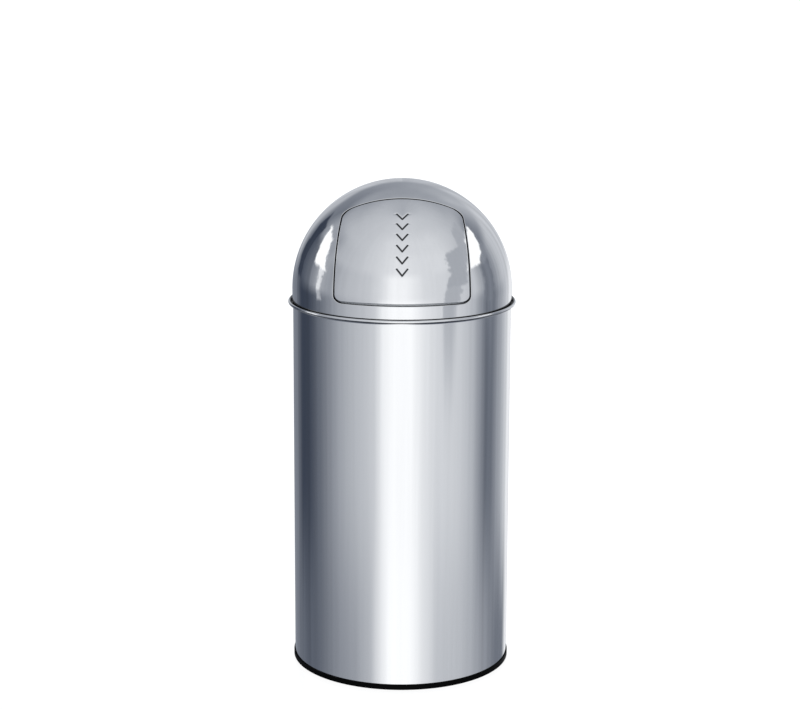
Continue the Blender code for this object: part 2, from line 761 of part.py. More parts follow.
def main():
    clear_scene()
    body_shell()
    body_floor()
    base_ring()

    liner = joint_axis("liner_lift_axis", (0, 0, 0))
    liner_wall(liner)
    liner_bottom(liner)
    for side, label in ((-1, "left"), (1, "right")):
        liner_ear(side, label, liner)
    for number, (side, across) in enumerate(rivet_places(), 1):
        liner_rivet(number, side, across, liner)
    liner_bail(joint_axis("bail_axis", (0, 0, BAIL_PIVOT)))

    lid = joint_axis("lid_lift_axis", (0, 0, 0))
    flap = joint_axis("flap_hinge_axis", HINGE)
    dome_shell(lid)
    locating_band(lid)
    hinge_pin(lid)
    flap_panel(flap)
    flap_backing(flap)
    bracket_start = OPENING_TOP + BRACKET_START
    knuckle_start = OPENING_TOP - HINGE_DROP - KNUCKLE_START - KNUCKLE_LENGTH / 2
    for side, label in ((-1, "left"), (1, "right")):
        hinge_lug(
            "hinge_bracket_" + label, side, BRACKET_X, BRACKET_X + LUG_SHEET / 2 - LUG_FOOT,
            bracket_start, BRACKET_LENGTH, SHEET + SHELL_GAP, stainless(), lid,
        )
        hinge_lug(
            "flap_knuckle_" + label, side, KNUCKLE_X, KNUCKLE_X + LUG_SHEET / 2,
            knuckle_start, KNUCKLE_LENGTH, BACKING_DEPTH + SHEET + SHELL_GAP, zinc(), flap,
        )
        pin_clip(side, label, lid)
        torsion_spring(side, label, lid)
        flap_bumper(side, label, flap)


main()
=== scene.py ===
"""Push bin: builds a dome-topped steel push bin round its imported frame, with its finishes, studio and
camera. Metres, +Z up. The flap faces -Y. Every piece stands where the frame's node of the same part
stands."""

import json
import math

import bpy
import numpy as np
from mathutils import Matrix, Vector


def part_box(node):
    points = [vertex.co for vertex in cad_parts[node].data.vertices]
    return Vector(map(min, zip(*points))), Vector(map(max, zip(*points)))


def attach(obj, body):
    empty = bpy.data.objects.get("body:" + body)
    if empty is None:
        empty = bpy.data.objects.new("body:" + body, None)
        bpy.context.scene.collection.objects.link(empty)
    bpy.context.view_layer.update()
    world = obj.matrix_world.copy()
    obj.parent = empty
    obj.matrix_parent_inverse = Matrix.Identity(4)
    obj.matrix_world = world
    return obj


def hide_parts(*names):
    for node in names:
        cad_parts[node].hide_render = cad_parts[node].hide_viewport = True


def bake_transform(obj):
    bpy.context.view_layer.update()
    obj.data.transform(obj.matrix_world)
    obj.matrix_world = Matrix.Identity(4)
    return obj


bl_info = {
    "name": "Push bin",
    "version": (1, 0, 0),
    "blender": (4, 5, 0),
    "location": "3D View > Sidebar > Push bin",
    "description": "Builds a dome-topped push bin round its frame",
    "category": "Add Mesh",
}

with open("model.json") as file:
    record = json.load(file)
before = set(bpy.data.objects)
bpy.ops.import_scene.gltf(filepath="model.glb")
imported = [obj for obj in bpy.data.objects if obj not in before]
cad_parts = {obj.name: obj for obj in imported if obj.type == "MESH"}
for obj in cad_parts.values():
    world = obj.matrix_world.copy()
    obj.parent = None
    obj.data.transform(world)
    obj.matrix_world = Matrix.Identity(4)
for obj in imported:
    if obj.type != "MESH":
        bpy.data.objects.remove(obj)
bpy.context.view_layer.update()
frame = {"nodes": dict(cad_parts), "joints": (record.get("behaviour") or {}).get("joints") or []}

# Places that come from the frame
WALL_LOW, WALL_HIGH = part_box("body_shell")
RING_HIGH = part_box("base_ring")[1]
PAN_LOW, PAN_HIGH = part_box("body_floor")
DOME_LOW, DOME_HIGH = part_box("dome_shell")
BAND_LOW, BAND_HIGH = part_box("locating_band")
LINER_LOW, LINER_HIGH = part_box("liner_wall")
TRAY_LOW, TRAY_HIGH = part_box("liner_bottom")
BAIL_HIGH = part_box("liner_bail")[1]
PIN_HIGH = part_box("hinge_pin")[1]
DOME_RADIUS = DOME_HIGH.x
DOME_MIDDLE = DOME_HIGH.z - DOME_RADIUS
HINGE = next(j["pos_m"] for j in frame["joints"] if j["name"] == "flap_hinge")
BAIL_PIVOT = next(j["pos_m"] for j in frame["joints"] if j["name"] == "bail_swing")

GAP = 0.0003  # what the frame leaves between touching pieces
SPRING_CLEARANCE = 0.0007  # from a spring's leg to the sheet that it lies along
COIL_CLEARANCE = 0.0010  # from a spring's coil to the pin
FLAP_LEG = 0.030  # how far a spring reaches down the flap
BAND_CLEARANCE = 0.0005  # from the locating band to the wall
BAND_LEAD = 0.0020  # the band's slanted lower edge
RIVET_HEAD = 0.0016  # thickness of a rivet's head
BAIL_HOOK = 0.0060  # how far the bail's ends pass inside its ears
TURN_STEPS = 288  # steps round a turned piece
WALL_STEPS = 384
PAN_STEPS = 192
MARKS = 6  # chevrons pressed into the flap


def length(name, description, default):
    """A size in metres that the user can change."""
    return bpy.props.FloatProperty(
        name=name, description=description, default=default, unit="LENGTH", precision=5
    )


def colour(name, description, default):
    """A colour that the user can change."""
    return bpy.props.FloatVectorProperty(
        name=name, description=description, default=default, subtype="COLOR", size=3
    )


class PushBinSizes(bpy.types.PropertyGroup):
    """The sizes that the frame's boxes don't give."""

    sheet: length("Sheet", "Thickness of the steel sheet", 0.0008)
    body_radius: length("Body radius", "Outside of the cylinder", 0.1675)
    bead_radius: length("Bead radius", "Rolled bead round the rim", 0.0024)
    rim_flare: length("Rim flare", "Fillet where the wall turns out under the bead", 0.0030)
    ring_foot: length("Ring foot", "Width of the base ring's sole inside the wall", 0.0100)
    ring_wall: length("Ring wall", "Thickness of the base ring beside the wall", 0.0015)
    ring_sole: length("Ring sole", "Thickness of the base ring under the wall", 0.0030)
    opening_sill: length("Sill", "Height of the opening's lower edge up the dome", 0.0030)
    opening_length: length("Opening length", "Along the dome's surface", 0.1816)
    opening_width: length("Opening width", "At the sill", 0.2032)
    opening_taper: length("Opening taper", "How far each side comes in at the top", 0.0125)
    corner_top: length("Top corners", "Radius of the opening's upper corners", 0.0125)
    corner_bottom: length("Bottom corners", "Radius of the opening's lower corners", 0.0130)
    edge_round: length("Edge round", "Radius of the rolled edges of opening and flap", 0.0010)
    lip_depth: length("Lip depth", "How far the opening's edge turns in", 0.0036)
    flap_gap: length("Flap gap", "Between the flap and the opening", 0.0016)
    flap_lift: length("Flap lift", "How much wider the gap is under the flap", 0.0016)
    flap_drop: length("Flap drop", "How much wider the gap is over the flap", 0.0006)
    flap_corner: length("Flap corners", "Radius of the flap's upper corners with the gap", 0.0170)
    flap_flange: length("Flap flange", "How far the flap's edge turns in", 0.0050)
    backing_lap: length("Backing lap", "How far the inner skin laps behind the opening", 0.0080)
    backing_drop: length("Backing drop", "Inner skin's top edge below the opening's", 0.0180)
    backing_corner: length("Backing corners", "Radius of the inner skin's corners", 0.0100)
    mark_width: length("Mark width", "Width of one pressed chevron", 0.0160)
    mark_height: length("Mark height", "Height of one pressed chevron", 0.0100)
    mark_pitch: length("Mark pitch", "From one chevron to the next", 0.0182)
    mark_low: length("Lowest mark", "Middle of the lowest chevron above the sill", 0.0500)
    mark_stroke: length("Mark stroke", "Width of the pressed line", 0.0022)
    mark_depth: length("Mark depth", "How deep the line is pressed", 0.0009)
    liner_bead: length("Liner bead", "Radius of the liner's rolled rim", 0.0035)
    liner_taper: length("Liner taper", "How much narrower the liner is at its foot", 0.0130)
    bail_wire: length("Bail wire", "Radius of the bail's wire", 0.0025)
    bail_bend: length("Bail bend", "Radius of the bail's corners", 0.0030)
    spring_wire: length("Spring wire", "Radius of the springs' wire", 0.0006)
    spring_pitch: length("Spring pitch", "From one turn of a spring to the next", 0.0018)


class PushBinColours(bpy.types.PropertyGroup):
    """The finishes' own colours."""

    steel: colour("Steel", "Polished stainless steel", (0.785, 0.79, 0.80))
    zinc: colour("Zinc", "Zinc coat of the hidden parts", (0.56, 0.58, 0.60))
    spring: colour("Spring", "Spring steel", (0.40, 0.40, 0.42))
    plastic: colour("Plastic", "Base ring", (0.0012, 0.0012, 0.0013))
    rubber: colour("Rubber", "Bumpers", (0.015, 0.015, 0.015))
    floor: colour("Floor", "Studio floor", (1.0, 1.0, 1.0))


def sizes_now():
    """The scene's sizes."""
    return bpy.context.scene.push_bin_sizes


def colours_now():
    """The scene's colours."""
    return bpy.context.scene.push_bin_colours


# ---------------------------------------------------------------- meshes


def lattice(rows, columns, wrap_rows=False, wrap_columns=False):
    """Quads between the neighbours of a grid of points. A wrapped way joins its end to its start."""
    row = np.arange(rows if wrap_rows else rows - 1)[:, None]
    column = np.arange(columns if wrap_columns else columns - 1)[None, :]
    above, beside = (row + 1) % rows, (column + 1) % columns
    corners = (
        row * columns + column,
        row * columns + beside,
        above * columns + beside,
        above * columns + column,
    )
    return np.stack(np.broadcast_arrays(*corners), -1).reshape(-1, 4)


def volume(points, faces):
    """Six times the signed volume inside faces: the sum of a . (b x c) over a fan of triangles."""
    total = 0.0
    for step in range(1, faces.shape[1] - 1):
        a, b, c = points[faces[:, 0]], points[faces[:, step]], points[faces[:, step + 1]]
        total += np.einsum("ij,ij->", a, np.cross(b, c))
    return total


def piece(name, points, *face_sets, sharp=40):
    """A smooth-shaded object from an (n, 3) array of points and arrays of faces, which it turns
    outwards."""
    if sum(volume(points, faces) for faces in face_sets) < 0:
        face_sets = [faces[:, ::-1] for faces in face_sets]
    mesh = bpy.data.meshes.new(name)
    mesh.from_pydata(points.tolist(), [], [face for faces in face_sets for face in faces.tolist()])
    mesh.shade_smooth()
    mesh.set_sharp_from_angle(angle=math.radians(sharp))
    obj = bpy.data.objects.new(name, mesh)
    bpy.context.scene.collection.objects.link(obj)
    return obj


def arc(middle, radius, start, end, steps):
    """Points round an arc, (m + r cos a, n + r sin a), with a going evenly from start to end in
    degrees."""
    turn = np.radians(np.linspace(start, end, steps + 1))
    return np.stack([middle[0] + radius * np.cos(turn), middle[1] + radius * np.sin(turn)], -1)


def run(start, end, hold=0.0002):
    """A straight stretch with a held row just inside each end, so that its shading stays flat between
    them."""
    start, end = np.array(start, float), np.array(end, float)
    away = (end - start) / np.linalg.norm(end - start) * hold
    return np.array([start, start + away, end - away, end])


def joined(*stretches):
    """The stretches of an outline one after another, without the points that repeat."""
    points = np.concatenate([np.atleast_2d(s) for s in stretches])
    step = np.linalg.norm(points - np.roll(points, 1, axis=0), axis=1)
    return points[step > 1e-7]


def rounded(corners, radius, steps=5):
    """A closed outline through corners, each cut back to a small curve: the quadratic Bezier from one
    side to the next with the corner as its middle point."""
    corners = np.array(corners, float)
    before, after = np.roll(corners, 1, axis=0), np.roll(corners, -1, axis=0)
    back, ahead = before - corners, after - corners
    back_length = np.linalg.norm(back, axis=1, keepdims=True)
    ahead_length = np.linalg.norm(ahead, axis=1, keepdims=True)
    cut = np.minimum(radius, 0.45 * np.minimum(back_length, ahead_length))
    start, end = corners + back / back_length * cut, corners + ahead / ahead_length * cut
    t = np.linspace(0, 1, steps)[None, :, None]
    bends = (1 - t) ** 2 * start[:, None] + 2 * t * (1 - t) * corners[:, None] + t**2 * end[:, None]
    hold_in = start + back / back_length * cut * 0.15
    hold_out = end + ahead / ahead_length * cut * 0.15
    return np.concatenate([hold_in[:, None], bends, hold_out[:, None]], 1).reshape(-1, 2)


def turned(profile, steps=TURN_STEPS):
    """A (radius, height) outline turned about Z: point (i, j) is (r_i cos a_j, r_i sin a_j, z_i)."""
    turn = np.arange(steps) * 2 * np.pi / steps
    r, z = profile[:, :1], profile[:, 1:]
    return np.stack([r * np.cos(turn), r * np.sin(turn), z + 0 * turn], -1)


def pan_profile(edge, top, low, sheet):
    """Half the section of a pressed pan that stands on its rim: flat on top, then round a bend of two
    sheets and down to low, and back along its inside, one sheet in."""
    bend = sheet * 2
    near = edge * 0.02
    return joined(
        [(0, top)],
        run((near, top), (edge - bend, top)),
        arc((edge - bend, top - bend), bend, 90, 0, 8),
        run((edge, top - bend), (edge, low)),
        run((edge - sheet, low), (edge - sheet, top - bend)),
        arc((edge - bend, top - bend), bend - sheet, 0, 90, 8),
        run((edge - bend, top - sheet), (near, top - sheet)),
        [(0, top - sheet)],
    )


def along_x(middle):
    """What lays a piece that was turned about Z along X: (x, y, z) goes to (z, x, y) + middle."""
    return lambda points: points[:, [2, 0, 1]] + np.array(middle)


def turned_piece(name, profile, steps=TURN_STEPS, place=None):
    """A closed outline turned about Z. One that starts and ends on the axis gets a fan of triangles
    there."""
    on_axis = profile[0, 0] == 0 and profile[-1, 0] == 0
    rings = profile[1:-1] if on_axis else profile
    points = turned(rings, steps).reshape(-1, 3)
    face_sets = [lattice(len(rings), steps, wrap_rows=not on_axis, wrap_columns=True)]
    if on_axis:
        first = np.arange(steps)
        last = first + (len(rings) - 1) * steps
        start, end = len(points), len(points) + 1
        ends = [[0, 0, profile[0, 1]], [0, 0, profile[-1, 1]]]
        points = np.concatenate([points, ends])
        face_sets.append(np.stack([np.full(steps, start), np.roll(first, -1), first], -1))
        face_sets.append(np.stack([np.full(steps, end), last, np.roll(last, -1)], -1))
    if place is not None:
        points = place(points)
    return piece(name, points, *face_sets)


def wire(name, path, radius, upright, sides=20):
    """A round wire: a circle of the radius carried along path, square to it, with domed ends. upright is
    a direction that the path never runs along."""
    ahead = np.gradient(path, axis=0)
    ahead /= np.linalg.norm(ahead, axis=1, keepdims=True)
    across = np.cross(ahead, upright)
    across /= np.linalg.norm(across, axis=1, keepdims=True)
    over = np.cross(across, ahead)
    turn = np.arange(sides) * 2 * np.pi / sides
    around = (
        across[:, None] * np.cos(turn)[None, :, None] + over[:, None] * np.sin(turn)[None, :, None]
    )
    cap = np.radians([15, 35, 55, 75])
    start = path[0] - ahead[0] * radius * np.cos(cap)[:, None]
    end = path[-1] + ahead[-1] * radius * np.cos(cap[::-1])[:, None]
    rings = np.concatenate(
        [
            start[:, None] + around[:1] * radius * np.sin(cap)[:, None, None],
            path[:, None] + around * radius,
            end[:, None] + around[-1:] * radius * np.sin(cap[::-1])[:, None, None],
        ]
    )
    count = len(rings)
    points = np.concatenate([rings.reshape(-1, 3), [start[0]], [end[-1]]])
    first = np.arange(sides)
    last = first + (count - 1) * sides
    closing = (
        np.stack([np.full(sides, len(points) - 2), np.roll(first, -1), first], -1),
        np.stack([np.full(sides, len(points) - 1), last, np.roll(last, -1)], -1),
    )
    return piece(name, points, lattice(count, sides, wrap_columns=True), *closing)


# ---------------------------------------------------------------- the dome's surface


def on_dome(x, height, depth=0.0):
    """Points on the dome: x across, height up its surface from the straight skirt, depth under its
    outside. The angle up the dome is height / R, and the reach from the X axis is the root of (R -
    depth)^2 - x^2."""
    turn = height / DOME_RADIUS
    reach = np.sqrt((DOME_RADIUS - depth) ** 2 - x**2)
    return np.stack([x, -reach * np.cos(turn), DOME_MIDDLE + reach * np.sin(turn)], -1)


def side_of_opening(height):
    """Half the opening's width at a height above its sill: it comes in with the square of the height."""
    sizes = sizes_now()
    return sizes.opening_width / 2 - sizes.opening_taper * (height / sizes.opening_length) ** 2


def outline_rows(inset, top_corner, bottom_corner, low, high, sides, corner=14):
    """(height, half width) of each row of a shape inset from the opening. sides are the heights between
    the corners as shares of the way up. A corner's rows are even in angle a: its height is r (1 - cos a)
    from the edge, and its width r (1 - sin a) inside the side."""
    turn = np.linspace(0, np.pi / 2, corner)
    floor, ceiling = low + inset, high - inset
    lower = floor + bottom_corner * (1 - np.cos(turn))
    upper = ceiling - top_corner * (1 - np.cos(turn[::-1]))
    middle = lower[-1] + (upper[0] - lower[-1]) * sides
    height = np.concatenate([lower, middle, upper])
    back = np.concatenate(
        [bottom_corner * (1 - np.sin(turn)), 0 * middle, top_corner * (1 - np.sin(turn[::-1]))]
    )
    return height, side_of_opening(height) - inset - back


def opening_rows(inset, sides, corner, low=0.0, drop=0.0):
    """Rows of the opening's own shape moved inwards by inset, with upper corners of the radius corner
    before the move. low and drop take more off its lower and upper edges."""
    sizes = sizes_now()
    high = sizes.opening_length - drop
    return outline_rows(inset, corner - inset, sizes.corner_bottom - inset, low, high, sides)


def sheet_grid(rows, across, depth, pressing=None):
    """A grid of points on the dome: row by row, with x = half width * across."""
    sizes = sizes_now()
    height, half = rows
    x = half[:, None] * across[None, :]
    up = np.broadcast_to(height[:, None], x.shape)
    pressed = 0 if pressing is None else pressing(x, up)
    return on_dome(x, up + sizes.opening_sill, depth + pressed)


def rim_of(rows, columns):
    """The indices round the edge of a rows by columns grid."""
    index = np.arange(rows * columns).reshape(rows, columns)
    return np.concatenate([index[0, :-1], index[:-1, -1], index[-1, :0:-1], index[:0:-1, 0]])


def pressed_sheet(name, edges, across, pressing=None):
    """A closed panel on the dome. edges are (rows, depth) from its outer face, over its edge, to its
    inner face: the first and last make the two faces, and those between make loops round the edge."""
    grids = [sheet_grid(rows, across, depth) for rows, depth in edges]
    if pressing is not None:
        for end in (0, -1):
            rows, depth = edges[end]
            grids[end] = sheet_grid(rows, across, depth, pressing)
    rows, columns = grids[0].shape[:2]
    rim = rim_of(rows, columns)
    size = rows * columns
    loops = [grid.reshape(-1, 3)[rim] for grid in grids[1:-1]]
    points = np.concatenate([grids[0].reshape(-1, 3), grids[-1].reshape(-1, 3), *loops])
    starts = [rim] + [2 * size + len(rim) * i + np.arange(len(rim)) for i in range(len(loops))]
    starts.append(size + rim)
    strips = [
        np.stack([a, np.roll(a, -1), np.roll(b, -1), b], -1)
        for a, b in zip(starts, starts[1:])
    ]
    face = lattice(rows, columns)
    return piece(name, points, face[:, ::-1], size + face, *strips)


def stroke_height(x, height, mark_middle):
    """How much of its full depth one chevron has at (x, height): 1 on its two slanting lines and 0 beyond
    the stroke, with a smoothstep between. The distance is to the nearer point of the line from tip to
    arm's end."""
    sizes = sizes_now()
    arm = np.array([sizes.mark_width / 2, sizes.mark_height])
    px, py = np.abs(x), height - (mark_middle - sizes.mark_height / 2)
    along = np.clip((px * arm[0] + py * arm[1]) / (arm @ arm), 0, 1)
    away = np.hypot(px - along * arm[0], py - along * arm[1])
    t = np.clip((sizes.mark_stroke * 0.8 - away) / (sizes.mark_stroke * 0.6), 0, 1)
    return t * t * (3 - 2 * t)


def chevrons(x, height):
    """How deep the chevrons are pressed, one above another."""
    sizes = sizes_now()
    middles = [sizes.mark_low + sizes.mark_pitch * i for i in range(MARKS)]
    return sizes.mark_depth * np.max([stroke_height(x, height, m) for m in middles], axis=0)


# ---------------------------------------------------------------- shader nodes


class Value:
    """A node's output that can be used in a Python expression: each operator adds its Math node."""

    def __init__(self, shader, socket):
        self.shader = shader
        self.socket = socket

    def maths(self, operation, *values):
        """A Math node on the values."""
        node = self.shader.node("ShaderNodeMath", {"operation": operation}, dict(enumerate(values)))
        return Value(self.shader, node.outputs[0])

    def __add__(self, other):
        return self.maths("ADD", self, other)

    def __radd__(self, other):
        return self.maths("ADD", other, self)

    def __sub__(self, other):
        return self.maths("SUBTRACT", self, other)

    def __rsub__(self, other):
        return self.maths("SUBTRACT", other, self)

    def __mul__(self, other):
        return self.maths("MULTIPLY", self, other)

    def __rmul__(self, other):
        return self.maths("MULTIPLY", other, self)

    def __truediv__(self, other):
        return self.maths("DIVIDE", self, other)

    def __neg__(self):
        return self.maths("MULTIPLY", self, -1.0)

    def __abs__(self):
        return self.maths("ABSOLUTE", self)


class Shader:
    """The node tree of a material or a world."""

    def __init__(self, owner):
        owner.use_nodes = True
        self.tree = owner.node_tree
        self.tree.nodes.clear()

    def node(self, kind, settings=None, values=None):
        """Adds a node, with its settings first and then its sockets' values or links. stops are a
        ramp's."""
        made = self.tree.nodes.new(kind)
        for name, value in (settings or {}).items():
            if name == "stops":
                self.set_stops(made.color_ramp, value)
            else:
                setattr(made, name, value)
        for name, value in (values or {}).items():
            if isinstance(value, Value):
                value = value.socket
            if isinstance(value, bpy.types.NodeSocket):
                self.tree.links.new(value, made.inputs[name])
            else:
                made.inputs[name].default_value = value
        return made

    @staticmethod
    def set_stops(ramp, stops):
        """Gives a colour ramp its (place, colour) stops."""
        while len(ramp.elements) > 1:
            ramp.elements.remove(ramp.elements[-1])
        ramp.elements[0].position = stops[0][0]
        for place, _ in stops[1:]:
            ramp.elements.new(place)
        for element, (_, shade) in zip(ramp.elements, stops):
            element.color = (*shade, 1)

    def value(self, kind, settings=None, values=None, output=0):
        """A node's output as a Value."""
        return Value(self, self.node(kind, settings, values).outputs[output])

    def own_axes(self):
        """The piece's own x, y and z."""
        own = self.node("ShaderNodeTexCoord").outputs["Object"]
        axes = self.node("ShaderNodeSeparateXYZ", None, {0: own})
        return [Value(self, axes.outputs[i]) for i in range(3)]

    def place(self, scale=(1, 1, 1)):
        """The piece's own coordinates, stretched by scale."""
        own = self.node("ShaderNodeTexCoord").outputs["Object"]
        return self.node("ShaderNodeMapping", None, {"Vector": own, "Scale": scale}).outputs[0]

    def noise(self, vector, scale, detail=2.0, roughness=0.5):
        """Smooth noise from 0 to 1, with about scale waves a metre."""
        values = {"Vector": vector, "Scale": scale, "Detail": detail, "Roughness": roughness}
        return self.value("ShaderNodeTexNoise", None, values)

    def blend(self, factor, low, high):
        """The colour between low and high."""
        values = {0: factor, 6: low, 7: high}
        return self.node("ShaderNodeMix", {"data_type": "RGBA"}, values).outputs[2]

    def bump(self, height, strength, distance):
        """Bumps that follow a height."""
        values = {"Strength": strength, "Distance": distance, "Height": height}
        return self.node("ShaderNodeBump", None, values).outputs[0]

    def step(self, value, low, high):
        """0 below low, 1 above high, and a smooth step between."""
        return self.value(
            "ShaderNodeMapRange",
            {"interpolation_type": "SMOOTHSTEP"},
            {"Value": value, "From Min": low, "From Max": high},
        )


def new_finish(name, build):
    """A material made once by build(shader, principled)."""
    found = bpy.data.materials.get(name)
    if found:
        return found
    material = bpy.data.materials.new(name)
    shader = Shader(material)
    principled = shader.node("ShaderNodeBsdfPrincipled")
    shader.node("ShaderNodeOutputMaterial", None, {"Surface": principled.outputs[0]})
    build(shader, principled)
    return material


def connect(shader, principled, **values):
    """Sets or links the shader's sockets, which are named as in its panel but with underscores."""
    for name, value in values.items():
        socket = principled.inputs[name.replace("_", " ").title().replace("Ior", "IOR")]
        if isinstance(value, Value):
            value = value.socket
        if isinstance(value, bpy.types.NodeSocket):
            shader.tree.links.new(value, socket)
        else:
            socket.default_value = value


def shade_of(base, factor):
    """A colour at a share of its brightness."""
    return (*(c * factor for c in base), 1)


def upright_steel():
    """Polished sheet with faint upright rolling lines, and painted shade in the corners under and behind
    the bead, where its colour goes near black and it is rougher."""
    base = colours_now().steel
    sizes = sizes_now()

    def build(shader, principled):
        lines = shader.noise(shader.place((1, 1, 0.012)), 170, 3.0, 0.6)
        bands = shader.noise(shader.place((1, 1, 0.03)), 38, 2.0, 0.5)
        clouds = shader.noise(shader.place(), 9, 3.0, 0.55)
        tone = shader.step(lines * 0.55 + bands * 0.45, 0.3, 0.7)
        bump = shader.bump(lines * 0.18 + bands, 0.09, 0.0006)
        x, y, z = shader.own_axes()
        radius = x.maths("SQRT", x * x + y * y)
        bead, middle = WALL_HIGH.x - sizes.bead_radius, WALL_HIGH.z - sizes.bead_radius
        # Painted shade: behind marks the crevice between the bead and the dome's skirt, under the corner
        # under the bead over the fillet; the colour goes near black there.
        behind = (1 - shader.step(radius, bead, bead + 0.0009)) * shader.step(
            z, middle - 0.0026, middle - 0.0022
        )
        wall = sizes.body_radius
        under = shader.step(radius, wall + 0.0003, wall + 0.0014) * (
            1 - shader.step(z, middle - 0.0014, middle - 0.0002)
        )
        shade = x.maths("MAXIMUM", behind, under)
        unshaded = shader.blend(tone, shade_of(base, 0.975), shade_of(base, 1.02))
        connect(
            shader,
            principled,
            base_color=shader.blend(shade, unshaded, shade_of(base, 0.06)),
            metallic=1.0,
            roughness=0.075 + lines * 0.04 + clouds * 0.03 + shade * 0.25,
            normal=bump,
        )

    return new_finish("upright_steel", build)


def spun_steel(name, inside):
    """Polished sheet of the dome and flap: slow waves, faint upright lines and a haze. Painted shade
    makes it near black and rougher where it dips under the dome's surface, on the turned-in edges round
    the flap and in the flap's pressed chevrons, and where the skirt meets the rim, in the gutter by the
    bead.
    Its inner face, one sheet under the surface, has the inside share of its tone."""
    base = colours_now().steel
    sheet = sizes_now().sheet

    def build(shader, principled):
        waves = shader.noise(shader.place((1, 1, 0.7)), 14, 1.5, 0.45)
        lines = shader.noise(shader.place((1, 0.3, 0.05)), 120, 3.0, 0.6)
        haze = shader.noise(shader.place(), 60, 3.0, 0.6)
        bump = shader.bump(waves + lines * 0.05, 0.4, 0.0009)
        x, y, z = shader.own_axes()
        rise = z.maths("MAXIMUM", z - DOME_MIDDLE, 0.0)
        depth = DOME_RADIUS - x.maths("SQRT", x * x + y * y + rise * rise)
        # Painted shade: dip * lip marks the sunken edges in the gap round the flap and the flap's chevron
        # grooves, and skirt the gutter beside the bead; the colour goes near black there. dip alone gives
        # the inner face the inside share of the tone.
        dip = shader.step(depth, 0.0002, 0.0006)
        lip = shader.step(abs(depth - sheet), 0.00005, 0.00012)
        skirt = 1 - shader.step(z, WALL_HIGH.z - 0.0002, WALL_HIGH.z + 0.0012)
        unshaded = shader.blend(
            haze * 0.5 + lines * 0.5, shade_of(base, 0.96), shade_of(base, 1.03)
        )
        connect(
            shader,
            principled,
            base_color=shader.blend(
                x.maths("MAXIMUM", skirt, dip * lip),
                shader.blend(dip, unshaded, shade_of(base, inside)),
                shade_of(base, 0.07),
            ),
            metallic=1.0,
            roughness=0.035 + haze * 0.03 + lines * 0.03 + x.maths("MAXIMUM", dip, skirt) * 0.25,
            normal=bump,
        )

    return new_finish(name, build)


def dull_steel():
    """Unpolished sheet of the parts inside the dome: rolling lines and a cloudy haze."""
    base = colours_now().steel

    def build(shader, principled):
        lines = shader.noise(shader.place((1, 1, 0.03)), 420, 2.0, 0.6)
        clouds = shader.noise(shader.place(), 30, 4.0, 0.6)
        connect(
            shader,
            principled,
            base_color=shader.blend(
                lines * 0.4 + clouds * 0.6, shade_of(base, 0.72), shade_of(base, 0.9)
            ),
            metallic=1.0,
            roughness=0.26 + lines * 0.08 + clouds * 0.1,
        )

    return new_finish("dull_steel", build)


def zinc_coat():
    """Dull zinc: crystals of slightly different tone, with soft edges, and fine grain."""
    base = colours_now().zinc

    def build(shader, principled):
        place = shader.place()
        crystal = shader.node("ShaderNodeTexVoronoi", None, {"Vector": place, "Scale": 110.0})
        tone = shader.value("ShaderNodeSeparateColor", None, {"Color": crystal.outputs["Color"]})
        grain = shader.noise(place, 900, 2.0)
        smear = shader.noise(shader.place((1, 1, 0.2)), 24, 4.0, 0.6)
        bump = shader.bump(grain, 0.12, 0.0004)
        connect(
            shader,
            principled,
            base_color=shader.blend(
                tone * 0.6 + smear * 0.4, shade_of(base, 0.82), shade_of(base, 1.12)
            ),
            metallic=1.0,
            roughness=0.3 + tone * 0.1 + smear * 0.12,
            normal=bump,
        )

    return new_finish("zinc_coat", build)


def drawn_wire():
    """Spring steel: drawn lines along the piece and a dull bloom."""
    base = colours_now().spring

    def build(shader, principled):
        lines = shader.noise(shader.place((0.1, 1, 1)), 1400, 2.0)
        bloom = shader.noise(shader.place(), 160, 3.0)
        connect(
            shader,
            principled,
            base_color=shader.blend(bloom, shade_of(base, 0.8), shade_of(base, 1.15)),
            metallic=1.0,
            roughness=0.22 + lines * 0.16,
        )

    return new_finish("drawn_wire", build)


def moulded(name, base, rough, grain_scale, relief):
    """Moulded plastic or rubber: a fine grain, and patches that have been rubbed smoother."""

    def build(shader, principled):
        grain = shader.noise(shader.place(), grain_scale, 2.0)
        rubbed = shader.noise(shader.place(), 45, 3.0)
        bump = shader.bump(grain, relief, 0.0003)
        connect(
            shader,
            principled,
            base_color=shader.blend(rubbed, shade_of(base, 0.8), shade_of(base, 1.5)),
            roughness=rough - 0.08 + rubbed * 0.16,
            specular_ior_level=0.04,
            normal=bump,
        )

    return new_finish(name, build)


def black_plastic():
    """The base ring's plastic."""
    return moulded("moulded_black", colours_now().plastic, 0.5, 1500, 0.15)


def bumper_rubber():
    """The bumpers' rubber."""
    return moulded("bumper_rubber", colours_now().rubber, 0.8, 900, 0.3)


def fit(obj, material, body, slot, *nodes):
    """Gives a piece its material and its body, and puts it in place of frame nodes. Its slot is not used.
    """
    obj.data.materials.append(material)
    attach(obj, body)
    if nodes:
        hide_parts(*nodes)


def refinish(material, *nodes):
    """Gives frame nodes that stay a better material."""
    for name in nodes:
        mesh = frame["nodes"][name].data
        mesh.materials.clear()
        mesh.materials.append(material)


# ---------------------------------------------------------------- operators


